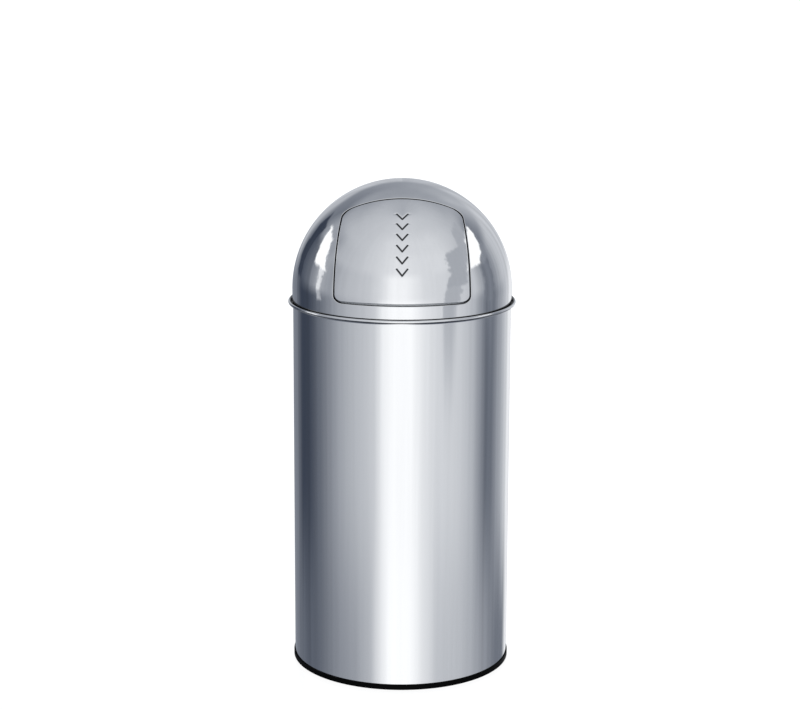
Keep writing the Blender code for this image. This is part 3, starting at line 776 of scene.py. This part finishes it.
class PUSHBIN_OT_body(bpy.types.Operator):
    """The wall with its rolled rim, and the pressed floor inside it"""

    bl_idname = "pushbin.body"
    bl_label = "Body"

    def execute(self, context):
        sizes = sizes_now()
        outer, inner = sizes.body_radius, sizes.body_radius - sizes.sheet
        bead = (WALL_HIGH.x - sizes.bead_radius, WALL_HIGH.z - sizes.bead_radius)
        seat = bead[1] - sizes.bead_radius + sizes.sheet
        drop = math.degrees(math.asin((bead[1] - seat) / sizes.bead_radius))
        under = bead[1] - sizes.bead_radius
        roll = arc(bead, sizes.bead_radius, 180 + drop, -90, 48)
        fillet = arc((outer + sizes.rim_flare, under - sizes.rim_flare), sizes.rim_flare, 90, 180, 16)
        profile = joined(
            roll,
            run(roll[-1], fillet[0]),
            fillet,
            run(fillet[-1], (outer, WALL_LOW.z)),
            run((inner, WALL_LOW.z), (inner, seat - sizes.sheet)),
            arc((inner + sizes.sheet, seat - sizes.sheet), sizes.sheet, 180, 90, 6),
            run((inner + sizes.sheet * 1.1, seat), roll[0]),
        )
        wall = turned_piece("body_wall", profile, WALL_STEPS)
        fit(wall, upright_steel(), "body", "stainless_steel", "body_shell")

        pan = pan_profile(PAN_HIGH.x, PAN_HIGH.z, PAN_LOW.z, sizes.sheet)
        floor = turned_piece("floor_pan", pan, PAN_STEPS)
        fit(floor, zinc_coat(), "body", "galvanised_steel", "body_floor")
        return {"FINISHED"}


class PUSHBIN_OT_base_ring(bpy.types.Operator):
    """The black ring that the bin stands on, with a groove for the wall's edge"""

    bl_idname = "pushbin.base_ring"
    bl_label = "Base ring"

    def execute(self, context):
        sizes = sizes_now()
        outer, top = RING_HIGH.x, RING_HIGH.z
        groove_out = outer - sizes.ring_wall
        groove_in = sizes.body_radius - sizes.sheet - GAP
        inner = groove_in - sizes.ring_wall
        corners = [
            (groove_out, top),
            (outer, top),
            (outer, 0),
            (groove_in - sizes.ring_foot, 0),
            (groove_in - sizes.ring_foot, sizes.ring_sole),
            (inner, sizes.ring_sole),
            (inner, top),
            (groove_in, top),
            (groove_in, sizes.ring_sole),
            (groove_out, sizes.ring_sole),
        ]
        ring = turned_piece("foot_ring", rounded(corners, 0.0007))
        fit(ring, black_plastic(), "body", "black_plastic", "base_ring")
        return {"FINISHED"}


class PUSHBIN_OT_dome(bpy.types.Operator):
    """The dome with the flap's opening and its turned-in lip, and the band that locates it"""

    bl_idname = "pushbin.dome"
    bl_label = "Dome"

    sides = np.linspace(0, 1, 92)[1:-1]
    across = np.linspace(-1, 1, 81)
    outer_rows = 64
    inner_rows = 44

    def edge_loop(self, inset, depth):
        """The opening's outline moved by inset and sunk by depth."""
        corner = sizes_now().corner_top
        grid = sheet_grid(opening_rows(inset, self.sides, corner), self.across, depth)
        return grid.reshape(-1, 3)[rim_of(*grid.shape[:2])]

    def skin(self, loop, radius, shares):
        """Rows over a dome of the radius from loop, round the opening, to the dome's equator. The dome is
        laid flat by a stereographic map about the opening's middle, w = (u, v) / (1 + t), in which
        circles stay circles and a point at angle a from that middle is tan(a / 2) away from it. Each row
        is at the same share of the angle along the rays from there to the equator."""
        sizes = sizes_now()
        lean = (sizes.opening_sill + sizes.opening_length / 2) / DOME_RADIUS
        out = np.array([0, -math.cos(lean), math.sin(lean)])
        right, up = np.array([1.0, 0, 0]), np.array([0, math.sin(lean), math.cos(lean)])
        unit = loop - [0, 0, DOME_MIDDLE]
        unit /= np.linalg.norm(unit, axis=1, keepdims=True)
        flat = np.stack([unit @ right, unit @ up], -1) / (1 + unit @ out)[:, None]
        start = np.linalg.norm(flat, axis=1)
        ray = flat / start[:, None]
        rise = ray[:, 1] * up[2]
        end = (rise + np.sqrt(rise**2 + out[2] ** 2)) / out[2]
        near, far = np.arctan(start), np.arctan(end)
        reach = np.tan(near + (far - near) * shares[:, None])
        w = reach[..., None] * ray
        square = (reach**2)[..., None]
        spot = (2 * w[..., :1] * right + 2 * w[..., 1:] * up + (1 - square) * out) / (1 + square)
        return spot * radius + [0, 0, DOME_MIDDLE]

    def execute(self, context):
        sizes = sizes_now()
        sheet, bend = sizes.sheet, sizes.edge_round
        turn = np.radians(np.linspace(90, 0, 9))
        lip = [(sheet, sheet * 3), (sheet, sizes.lip_depth - sheet / 4)]
        lip += [(sheet * 0.8, sizes.lip_depth), (sheet * 0.2, sizes.lip_depth)]
        lip += [(0.0, sizes.lip_depth - sheet / 4), (0.0, bend * 1.2)]
        lip += [(bend * (1 - math.sin(a)), bend * (1 - math.cos(a))) for a in turn]
        rows = [self.edge_loop(-out, depth) for out, depth in lip]

        shares = np.linspace(0, 1, self.outer_rows)
        outer = self.skin(rows[-1], DOME_RADIUS, np.concatenate([[0.001], shares[1:]]))
        low = DOME_LOW.z
        heights = np.array([0.25, 0.5, 0.75, 0.97]) * (DOME_MIDDLE - low - sheet / 2)
        skirt = [outer[-1] - [0, 0, h] for h in heights]
        foot = arc((DOME_RADIUS - sheet / 2, low + sheet / 2), sheet / 2, 0, -180, 8)
        flat = outer[-1] * [1, 1, 0] / DOME_RADIUS
        hem = [flat * r + [0, 0, z] for r, z in foot]
        rise = np.array([0.03, 0.5, 1.0]) * (DOME_MIDDLE - foot[-1, 1])
        inside = [flat * (DOME_RADIUS - sheet) + [0, 0, foot[-1, 1] + h] for h in rise]
        back = self.edge_loop(-sheet * 3, sheet)
        shares = np.linspace(0, 1, self.inner_rows)[:-1]
        inner = self.skin(back, DOME_RADIUS - sheet, shares)[::-1]
        points = np.concatenate([rows, outer, skirt, hem, inside, inner])
        quads = lattice(*points.shape[:2], wrap_rows=True, wrap_columns=True)
        dome = piece("dome_skin", points.reshape(-1, 3), quads, sharp=60)
        fit(dome, spun_steel("dome_steel", 0.5), "lid", "stainless_steel", "dome_shell")

        upper = BAND_HIGH.x
        lower = sizes.body_radius - sheet - BAND_CLEARANCE
        step = low + GAP
        outside = [
            (upper, BAND_HIGH.z),
            (upper, step + (upper - lower) * 1.5),
            (lower, step),
            (lower, BAND_LOW.z + BAND_LEAD),
            (lower - BAND_LEAD, BAND_LOW.z),
        ]
        corners = outside + [(r - sheet, z) for r, z in reversed(outside)]
        band = turned_piece("skirt_band", rounded(corners, 0.0004))
        fit(band, dull_steel(), "lid", "stainless_steel", "locating_band")
        return {"FINISHED"}


class PUSHBIN_OT_flap(bpy.types.Operator):
    """The flap's outer skin with its pressed chevrons, and the inner skin that laps behind the opening"""

    bl_idname = "pushbin.flap"
    bl_label = "Flap"

    def execute(self, context):
        sizes = sizes_now()
        sheet, bend, gap = sizes.sheet, sizes.edge_round, sizes.flap_gap
        turn = np.radians(np.linspace(0, 90, 9))
        edges = [(bend * 1.6, 0.0), (bend * 1.15, 0.0)]
        edges += [(bend * (1 - math.sin(a)), bend * (1 - math.cos(a))) for a in turn]
        edges += [(0.0, sizes.flap_flange - sheet / 3), (sheet / 3, sizes.flap_flange)]
        edges += [(sheet * 2 / 3, sizes.flap_flange), (sheet, sizes.flap_flange - sheet / 3)]
        edges += [(sheet, sheet * 2.2), (sheet * 1.4, sheet * 1.3), (sheet * 2.4, sheet)]

        corner = sizes.corner_bottom / sizes.opening_length
        low = (sizes.mark_low - sizes.mark_height) / sizes.opening_length - corner
        marks = (MARKS - 1) * sizes.mark_pitch + 2 * sizes.mark_height
        high = low + marks / sizes.opening_length + 0.08
        below, above = np.linspace(0, low, 22)[1:-1], np.linspace(high, 1, 22)[1:-1]
        sides = np.concatenate([below, np.linspace(low, high, 230), above])
        half = sizes.mark_width * 0.62 / (sizes.opening_width / 2)
        middle = np.linspace(-half, half, 44)
        side = half + (1 - half) * np.linspace(0, 1, 30)[1:]
        across = np.concatenate([-side[::-1], middle, side])
        cut = (sizes.flap_corner, sizes.flap_lift, sizes.flap_drop)
        rows = [(opening_rows(gap + inset, sides, *cut), depth) for inset, depth in edges]
        skin = pressed_sheet("flap_skin", rows, across, chevrons)
        # The flap's near-black inside share is painted shade on its sunken edges, pressed chevron grooves
        # and hidden inner face.
        fit(skin, spun_steel("flap_steel", 0.07), "flap", "stainless_steel", "flap_panel")

        depth = sizes.flap_flange + GAP
        plain = np.linspace(0, 1, 60)[1:-1]
        backing = []
        round_edge = [(sheet, 0), (sheet / 4, 0), (0, sheet / 4)]
        round_edge += [(0, sheet * 3 / 4), (sheet / 4, sheet), (sheet, sheet)]
        for inset, down in round_edge:
            height, wide = outline_rows(
                inset,
                sizes.backing_corner,
                sizes.backing_corner,
                -sizes.backing_lap,
                sizes.opening_length - sizes.backing_drop,
                plain,
            )
            backing.append(((height, wide + sizes.backing_lap), depth + down))
        inner = pressed_sheet("flap_inner", backing, np.linspace(-1, 1, 61))
        fit(inner, zinc_coat(), "flap", "galvanised_steel", "flap_backing")
        refinish(bumper_rubber(), "flap_bumper_left", "flap_bumper_right")
        return {"FINISHED"}


class PUSHBIN_OT_hinge(bpy.types.Operator):
    """The flap's pin and springs, and the finishes of its lugs and clips"""

    bl_idname = "pushbin.hinge"
    bl_label = "Hinge"

    def spring(self, name, side, sizes):
        """A coil about the pin: point (x, y, z) at turn a is (x0 + p a / 2 pi, r cos a, r sin a) from the
        pin's middle. Its straight legs leave the coil where a line to their far ends touches it."""
        low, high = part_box(name)
        near, far = sorted((abs(low.x), abs(high.x)))
        inner, outer = near + sizes.spring_wire, far - sizes.spring_wire
        radius = PIN_HIGH.z - HINGE[2] + COIL_CLEARANCE + sizes.spring_wire
        clearance = SPRING_CLEARANCE + sizes.spring_wire

        def leg_end(x, depth, along):
            point = on_dome(np.array(x), np.array(along), depth)
            return point[1] - HINGE[1], point[2] - HINGE[2]

        hinge_turn = math.atan2(HINGE[2] - DOME_MIDDLE, -HINGE[1]) * DOME_RADIUS
        behind = sizes.flap_flange + GAP + sizes.sheet + clearance
        flap_end = leg_end(outer, behind, hinge_turn - FLAP_LEG)
        dome_end = leg_end(inner, sizes.sheet + clearance, hinge_turn + FLAP_LEG / 2)

        def touch(end, winding):
            return math.atan2(end[1], end[0]) + winding * math.acos(radius / math.hypot(*end))

        first, last = touch(dome_end, -1), touch(flap_end, 1)
        turns = round((outer - inner) / sizes.spring_pitch)
        sweep = (last - first) % (2 * math.pi) + 2 * math.pi * (turns - 1)
        share = np.linspace(0, 1, turns * 40)
        turn = first + sweep * share
        coil = np.stack(
            [inner + (outer - inner) * share, radius * np.cos(turn), radius * np.sin(turn)], -1
        )
        legs = np.linspace(0, 1, 12)[:-1, None]
        start = np.array([inner, *dome_end])
        end = np.array([outer, *flap_end])
        path = np.concatenate(
            [start + (coil[0] - start) * legs, coil, (end + (coil[-1] - end) * legs)[::-1]]
        )
        path = path * [side, 1, 1] + [0, HINGE[1], HINGE[2]]
        obj = wire(name.replace("torsion", "wound"), path, sizes.spring_wire, (1, 0, 0), sides=12)
        obj.data.materials.append(drawn_wire())
        toward = np.array([0, *flap_end]) / math.hypot(*flap_end)
        tuple(np.array(HINGE) + toward * radius * 0.8)
        tuple(np.array(HINGE) + toward * radius * 2.6)
        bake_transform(obj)
        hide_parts(name)

    def execute(self, context):
        sizes = sizes_now()
        radius, reach = PIN_HIGH.z - HINGE[2], PIN_HIGH.x
        chamfer = radius / 4
        profile = joined(
            [(0, reach)],
            run((radius * 0.2, reach), (radius - chamfer, reach)),
            run((radius, reach - chamfer), (radius, chamfer - reach)),
            run((radius - chamfer, -reach), (radius * 0.2, -reach)),
            [(0, -reach)],
        )
        pin = turned_piece("flap_pin", profile, 48, along_x((0, HINGE[1], HINGE[2])))
        fit(pin, drawn_wire(), "lid", "spring_steel", "hinge_pin")
        for side, label in ((-1, "left"), (1, "right")):
            self.spring("torsion_spring_" + label, side, sizes)
            refinish(drawn_wire(), "pin_clip_" + label)
            refinish(dull_steel(), "hinge_bracket_" + label)
            refinish(zinc_coat(), "flap_knuckle_" + label)
        return {"FINISHED"}


class PUSHBIN_OT_liner(bpy.types.Operator):
    """The lift-out liner with its ears and rivets"""

    bl_idname = "pushbin.liner"
    bl_label = "Liner"

    def execute(self, context):
        sizes = sizes_now()
        sheet, bead = sizes.sheet, sizes.liner_bead
        top, low = LINER_HIGH.z, LINER_LOW.z
        mouth = LINER_HIGH.x - 2 * bead + sheet / 2
        foot = mouth - sizes.liner_taper
        middle = (mouth - sheet / 2 + bead, top - bead)
        roll = arc(middle, bead, 180, -120, 44)
        slope = np.array([foot - mouth, low - top])
        slope /= np.linalg.norm(slope)
        start = np.array([mouth, roll[-1, 1] - sheet])
        profile = joined(
            roll,
            run(start, (foot, low)),
            run((foot - sheet, low), (mouth - sheet, middle[1])),
        )
        wall = turned_piece("liner_tub", profile)
        fit(wall, zinc_coat(), "liner", "galvanised_steel", "liner_wall")

        tray = pan_profile(TRAY_HIGH.x, TRAY_HIGH.z, TRAY_LOW.z, sheet)
        bottom = turned_piece("liner_tray", tray, PAN_STEPS)
        fit(bottom, zinc_coat(), "liner", "galvanised_steel", "liner_bottom")
        refinish(zinc_coat(), "liner_ear_left", "liner_ear_right")
        for number in range(1, 5):
            self.rivet(f"liner_rivet_{number}")
        return {"FINISHED"}

    def rivet(self, node):
        """A rivet turned about X: a low dome at each end, and a shank between them."""
        low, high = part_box(node)
        middle = (low + high) / 2
        half = (high.x - low.x) / 2
        head, shank, thick = (high.y - low.y) / 2, (high.y - low.y) / 4, RIVET_HEAD
        bulge = (head**2 + thick**2) / (2 * thick)
        sweep = math.degrees(math.asin(head / bulge))
        end = arc((0, half - bulge), bulge, 90 - 0.5, 90 - sweep, 12)
        start = end[::-1] * [1, -1]
        profile = joined(
            [(0, half)],
            end,
            run((shank, half - thick), (shank, thick - half)),
            start,
            [(0, -half)],
        )
        obj = turned_piece(node.replace("liner_", "ear_"), profile, 32, along_x(middle))
        fit(obj, zinc_coat(), "liner", "galvanised_steel", node)


class PUSHBIN_OT_bail(bpy.types.Operator):
    """The liner's wire handle"""

    bl_idname = "pushbin.bail"
    bl_label = "Bail"

    def execute(self, context):
        sizes = sizes_now()
        radius = BAIL_HIGH.x - sizes.bail_wire
        bend = sizes.bail_bend
        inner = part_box("liner_ear_right")[0].x - BAIL_HOOK
        start = math.degrees(math.asin(bend / radius))
        bow = arc((0, 0), radius, start, 180 - start, 180)
        corner = arc((bow[0, 0] - bend, bend), bend, -90, 0, 10)
        hook = np.linspace((inner, 0), corner[0], 12)[:-1]
        half = np.concatenate([hook, corner[:-1]])
        flat = np.concatenate([half, bow, half[::-1] * [-1, 1]])
        path = np.column_stack([flat, np.full(len(flat), BAIL_PIVOT[2])])
        bail = wire("bail_wire", path, sizes.bail_wire, (0, 0, 1), sides=24)
        fit(bail, zinc_coat(), "bail", "galvanised_steel", "liner_bail")
        return {"FINISHED"}


# ---------------------------------------------------------------- studio


# The light tent: rings of tone, each with the height, as a sine, from which it takes over from the ring
# below, and (heading, tone) all the way round. Heading 0 is the bin's front and +90 is +X. Tone 100 is
# white.
TENT_RINGS = (
    (-1.0, -1.0, (
        (-180, 80), (-125, 55), (-98, 14), (-60, 22), (-42, 12), (-24, 52), (-8, 96), (6, 96), (24, 54),
        (38, 14), (70, 26), (104, 12), (130, 55), (180, 80),
    )),
    (-0.48, -0.39, (
        (-180, 52), (-160, 36), (-142, 28), (-118, 20), (-100, 23), (-75, 40), (-50, 50), (-32, 64),
        (-22, 88), (-12, 101), (10, 101), (24, 87), (40, 69), (64, 67), (93, 52), (125, 30), (145, 30),
        (160, 90), (180, 52),
    )),
    (-0.345, -0.275, (
        (-180, 40), (-160, 36), (-146, 32), (-130, 4), (-112, 9), (-96, 26), (-78, 45), (-58, 61),
        (-40, 68), (-28, 75), (-20, 92), (-10, 99), (10, 99), (24, 87), (38, 79), (56, 78), (72, 70),
        (82, 60), (92, 42), (101, 24), (112, 30), (122, 48), (136, 62), (160, 90), (180, 40),
    )),
    (-0.15, 0.0, (
        (-180, 66), (-160, 62), (-146, 24), (-130, 14), (-116, 28), (-98, 58), (-82, 50), (-60, 65),
        (-36, 71), (-22, 81), (-10, 95), (4, 94), (24, 81), (46, 77), (84, 68), (98, 38), (114, 42),
        (130, 66), (150, 70), (180, 60),
    )),
    (0.3, 0.46, (
        (-180, 48), (-157, 38), (-140, 32), (-122, 52), (-95, 50), (-82, 62), (-52, 70), (-22, 80),
        (-6, 86), (24, 81), (54, 80), (76, 69), (106, 46), (118, 34), (130, 44), (150, 62), (180, 48),
    )),
    (0.58, 0.76, (
        (-180, 49), (-140, 51), (-97, 65), (-52, 71), (-15, 81), (53, 78), (90, 68), (140, 54), (180, 49),
    )),
    (0.8, 0.97, (
        (-180, 58), (-90, 68), (0, 75), (90, 70), (180, 58),
    )),
)

# Windows, flags and a stand in the tent: heading, lean in degrees towards +X per unit of height, half
# width in degrees, lowest and highest height, tone
TENT_PANELS = (
    (-140, 0, 7, -0.06, 0.42, 5),
    (-97, 0, 3, -0.17, 0.06, 60),
    (-97, 0, 3, -0.04, 0.24, 84),
    (-93, -42, 11, 0.21, 0.53, 104),
    (104, 0, 7, -0.20, 0.26, 34),
    (58, 60, 12, 0.40, 0.76, 58),
    (70, 66, 12, 0.30, 0.61, 104),
    (54, 22, 8, -0.21, 0.24, 60),
    (58, 22, 12, 0.12, 0.62, 57),
)
TENT_DARK = (44, 51, 65)
TENT_WHITE = (253, 254, 255)
TENT_STRENGTH = 1.27
PANEL_BLUR = 1.2  # degrees that a panel's sides fade over, each way
PANEL_END_BLUR = 0.02  # height that its ends fade over, each way
STRIPES = 60  # upright stripes of light round the tent
CAMERA_PLACE = (0, -3.1017, 1.1612)
CAMERA_DIP = 11.81  # degrees below level
CAMERA_ROLL = 0.236


def tent_shade(tone):
    """A tone as light: between the tent's dark and its white on screen, then made linear."""
    screen = [max(0, d + (w - d) * tone / 100) / 255 for d, w in zip(TENT_DARK, TENT_WHITE)]
    return tuple(((c + 0.055) / 1.055) ** 2.4 for c in screen)


def heading(degrees):
    """A heading's place along a ramp: -180 is 0 and 180 is 1."""
    return degrees / 360 + 0.5


class PUSHBIN_OT_studio(bpy.types.Operator):
    """The pale floor, the light tent and the camera"""

    bl_idname = "pushbin.studio"
    bl_label = "Studio"

    def tent(self, context):
        """The light tent as the world: rings of tone with smooth steps between them, and then the panels,
        whose edges waver a little."""
        world = bpy.data.worlds.new("light_tent")
        context.scene.world = world
        shader = Shader(world)
        way = shader.node("ShaderNodeTexCoord").outputs["Generated"]
        axes = shader.node("ShaderNodeSeparateXYZ", None, {0: way})
        x, y, up = (Value(shader, axes.outputs[i]) for i in range(3))
        turn = x.maths("ARCTAN2", x, -y) / (2 * math.pi) + 0.5
        coarse = shader.noise(way, 5.0, 3.0, 0.6) - 0.5
        fine = shader.noise(way, 13.0, 3.0, 0.6) - 0.5

        light = None
        for low, high, stops in TENT_RINGS:
            places = [(heading(a), tent_shade(tone)) for a, tone in stops]
            ring = shader.node("ShaderNodeValToRGB", {"stops": places}, {"Fac": turn}).outputs[0]
            if light is None:
                light = ring
            else:
                light = shader.blend(shader.step(up + fine * 0.05, low, high), light, ring)
        for middle, lean, half, low, high, tone in TENT_PANELS:
            off = abs((turn - heading(middle)) * 360 - up * lean + coarse * 16 + fine * 7)
            rise = up + fine * 0.07 + coarse * 0.06
            panel = 1 - shader.step(off, half - PANEL_BLUR, half + PANEL_BLUR)
            panel = panel * shader.step(rise, low - PANEL_END_BLUR, low + PANEL_END_BLUR)
            panel = panel * (1 - shader.step(rise, high - PANEL_END_BLUR, high + PANEL_END_BLUR))
            light = shader.blend(panel, light, (*tent_shade(tone), 1))
        sides = shader.step(abs(turn - 0.5) * 360, 55, 95) * (1 - shader.step(up, 0.2, 0.5))
        stripe = shader.node("ShaderNodeCombineXYZ", None, {"X": turn * STRIPES})
        stripes = shader.noise(stripe.outputs[0], 1.0, 2.0, 0.6) - 0.5
        strength = TENT_STRENGTH + stripes * (0.14 + sides * 0.9)
        glow = shader.node("ShaderNodeBackground", None, {"Color": light, "Strength": strength})
        shader.node("ShaderNodeOutputWorld", None, {"Surface": glow.outputs[0]})

    def cove(self, context):
        """The floor and backdrop in one: a flat floor that curves up into a round wall. It is seen, and
        takes the bin's shadow, but the tent's light and reflections pass it."""
        profile = joined(
            [(0, 0)],
            run((0.3, 0), (30, 0), 0.01),
            arc((30, 12), 12, -90, 0, 24),
            run((42, 12), (42, 30), 0.01),
            arc((30, 30), 12, 0, 90, 16),
            [(0, 42)],
        )
        floor = turned_piece("studio_floor", profile, 96)
        base = colours_now().floor

        def build(shader, principled):
            mottle = shader.noise(shader.place(), 2.0)
            connect(
                shader,
                principled,
                base_color=shader.blend(mottle, shade_of(base, 0.16), shade_of(base, 0.17)),
                roughness=0.2,
                specular_ior_level=0.3,
                emission_color=(*base, 1),
                emission_strength=0.9,
            )

        floor.data.materials.append(new_finish("pale_floor", build))
        floor.visible_diffuse = False
        floor.visible_glossy = False
        floor.visible_shadow = False

    def camera(self, context):
        """The camera, in front of the bin and above its top, looking a little down."""
        lens = bpy.data.cameras.new("camera")
        lens.lens, lens.sensor_width = 92.26, 36.0
        lens.shift_x, lens.shift_y = -0.0023, -0.0234
        lens.clip_end = 200.0
        camera = bpy.data.objects.new("camera", lens)
        context.scene.collection.objects.link(camera)
        pitch = Matrix.Rotation(math.radians(90 - CAMERA_DIP), 4, "X")
        roll = Matrix.Rotation(math.radians(CAMERA_ROLL), 4, "Z")
        camera.matrix_world = Matrix.Translation(CAMERA_PLACE) @ pitch @ roll
        context.scene.camera = camera

    def execute(self, context):
        context.scene.view_settings.view_transform = "Standard"
        self.tent(context)
        self.cove(context)
        self.camera(context)
        return {"FINISHED"}


OPERATORS = (
    PUSHBIN_OT_body,
    PUSHBIN_OT_base_ring,
    PUSHBIN_OT_dome,
    PUSHBIN_OT_flap,
    PUSHBIN_OT_hinge,
    PUSHBIN_OT_liner,
    PUSHBIN_OT_bail,
    PUSHBIN_OT_studio,
)


class PUSHBIN_PT_panel(bpy.types.Panel):
    """The bin's pieces, sizes and colours"""

    bl_idname = "PUSHBIN_PT_panel"
    bl_label = "Push bin"
    bl_space_type = "VIEW_3D"
    bl_region_type = "UI"
    bl_category = "Push bin"

    def draw(self, context):
        for operator in OPERATORS:
            self.layout.operator(operator.bl_idname)
        for group in (sizes_now(), colours_now()):
            box = self.layout.box()
            for name in type(group).__annotations__:
                box.prop(group, name)


CLASSES = (PushBinSizes, PushBinColours, *OPERATORS, PUSHBIN_PT_panel)


def register():
    for item in CLASSES:
        bpy.utils.register_class(item)
    bpy.types.Scene.push_bin_sizes = bpy.props.PointerProperty(type=PushBinSizes)
    bpy.types.Scene.push_bin_colours = bpy.props.PointerProperty(type=PushBinColours)


def unregister():
    del bpy.types.Scene.push_bin_colours
    del bpy.types.Scene.push_bin_sizes
    for item in reversed(CLASSES):
        bpy.utils.unregister_class(item)


def main():
    """Builds every piece in order."""
    register()
    for operator in OPERATORS:
        group, name = operator.bl_idname.split(".")
        getattr(getattr(bpy.ops, group), name)()


if __name__ == "__main__":
    main()
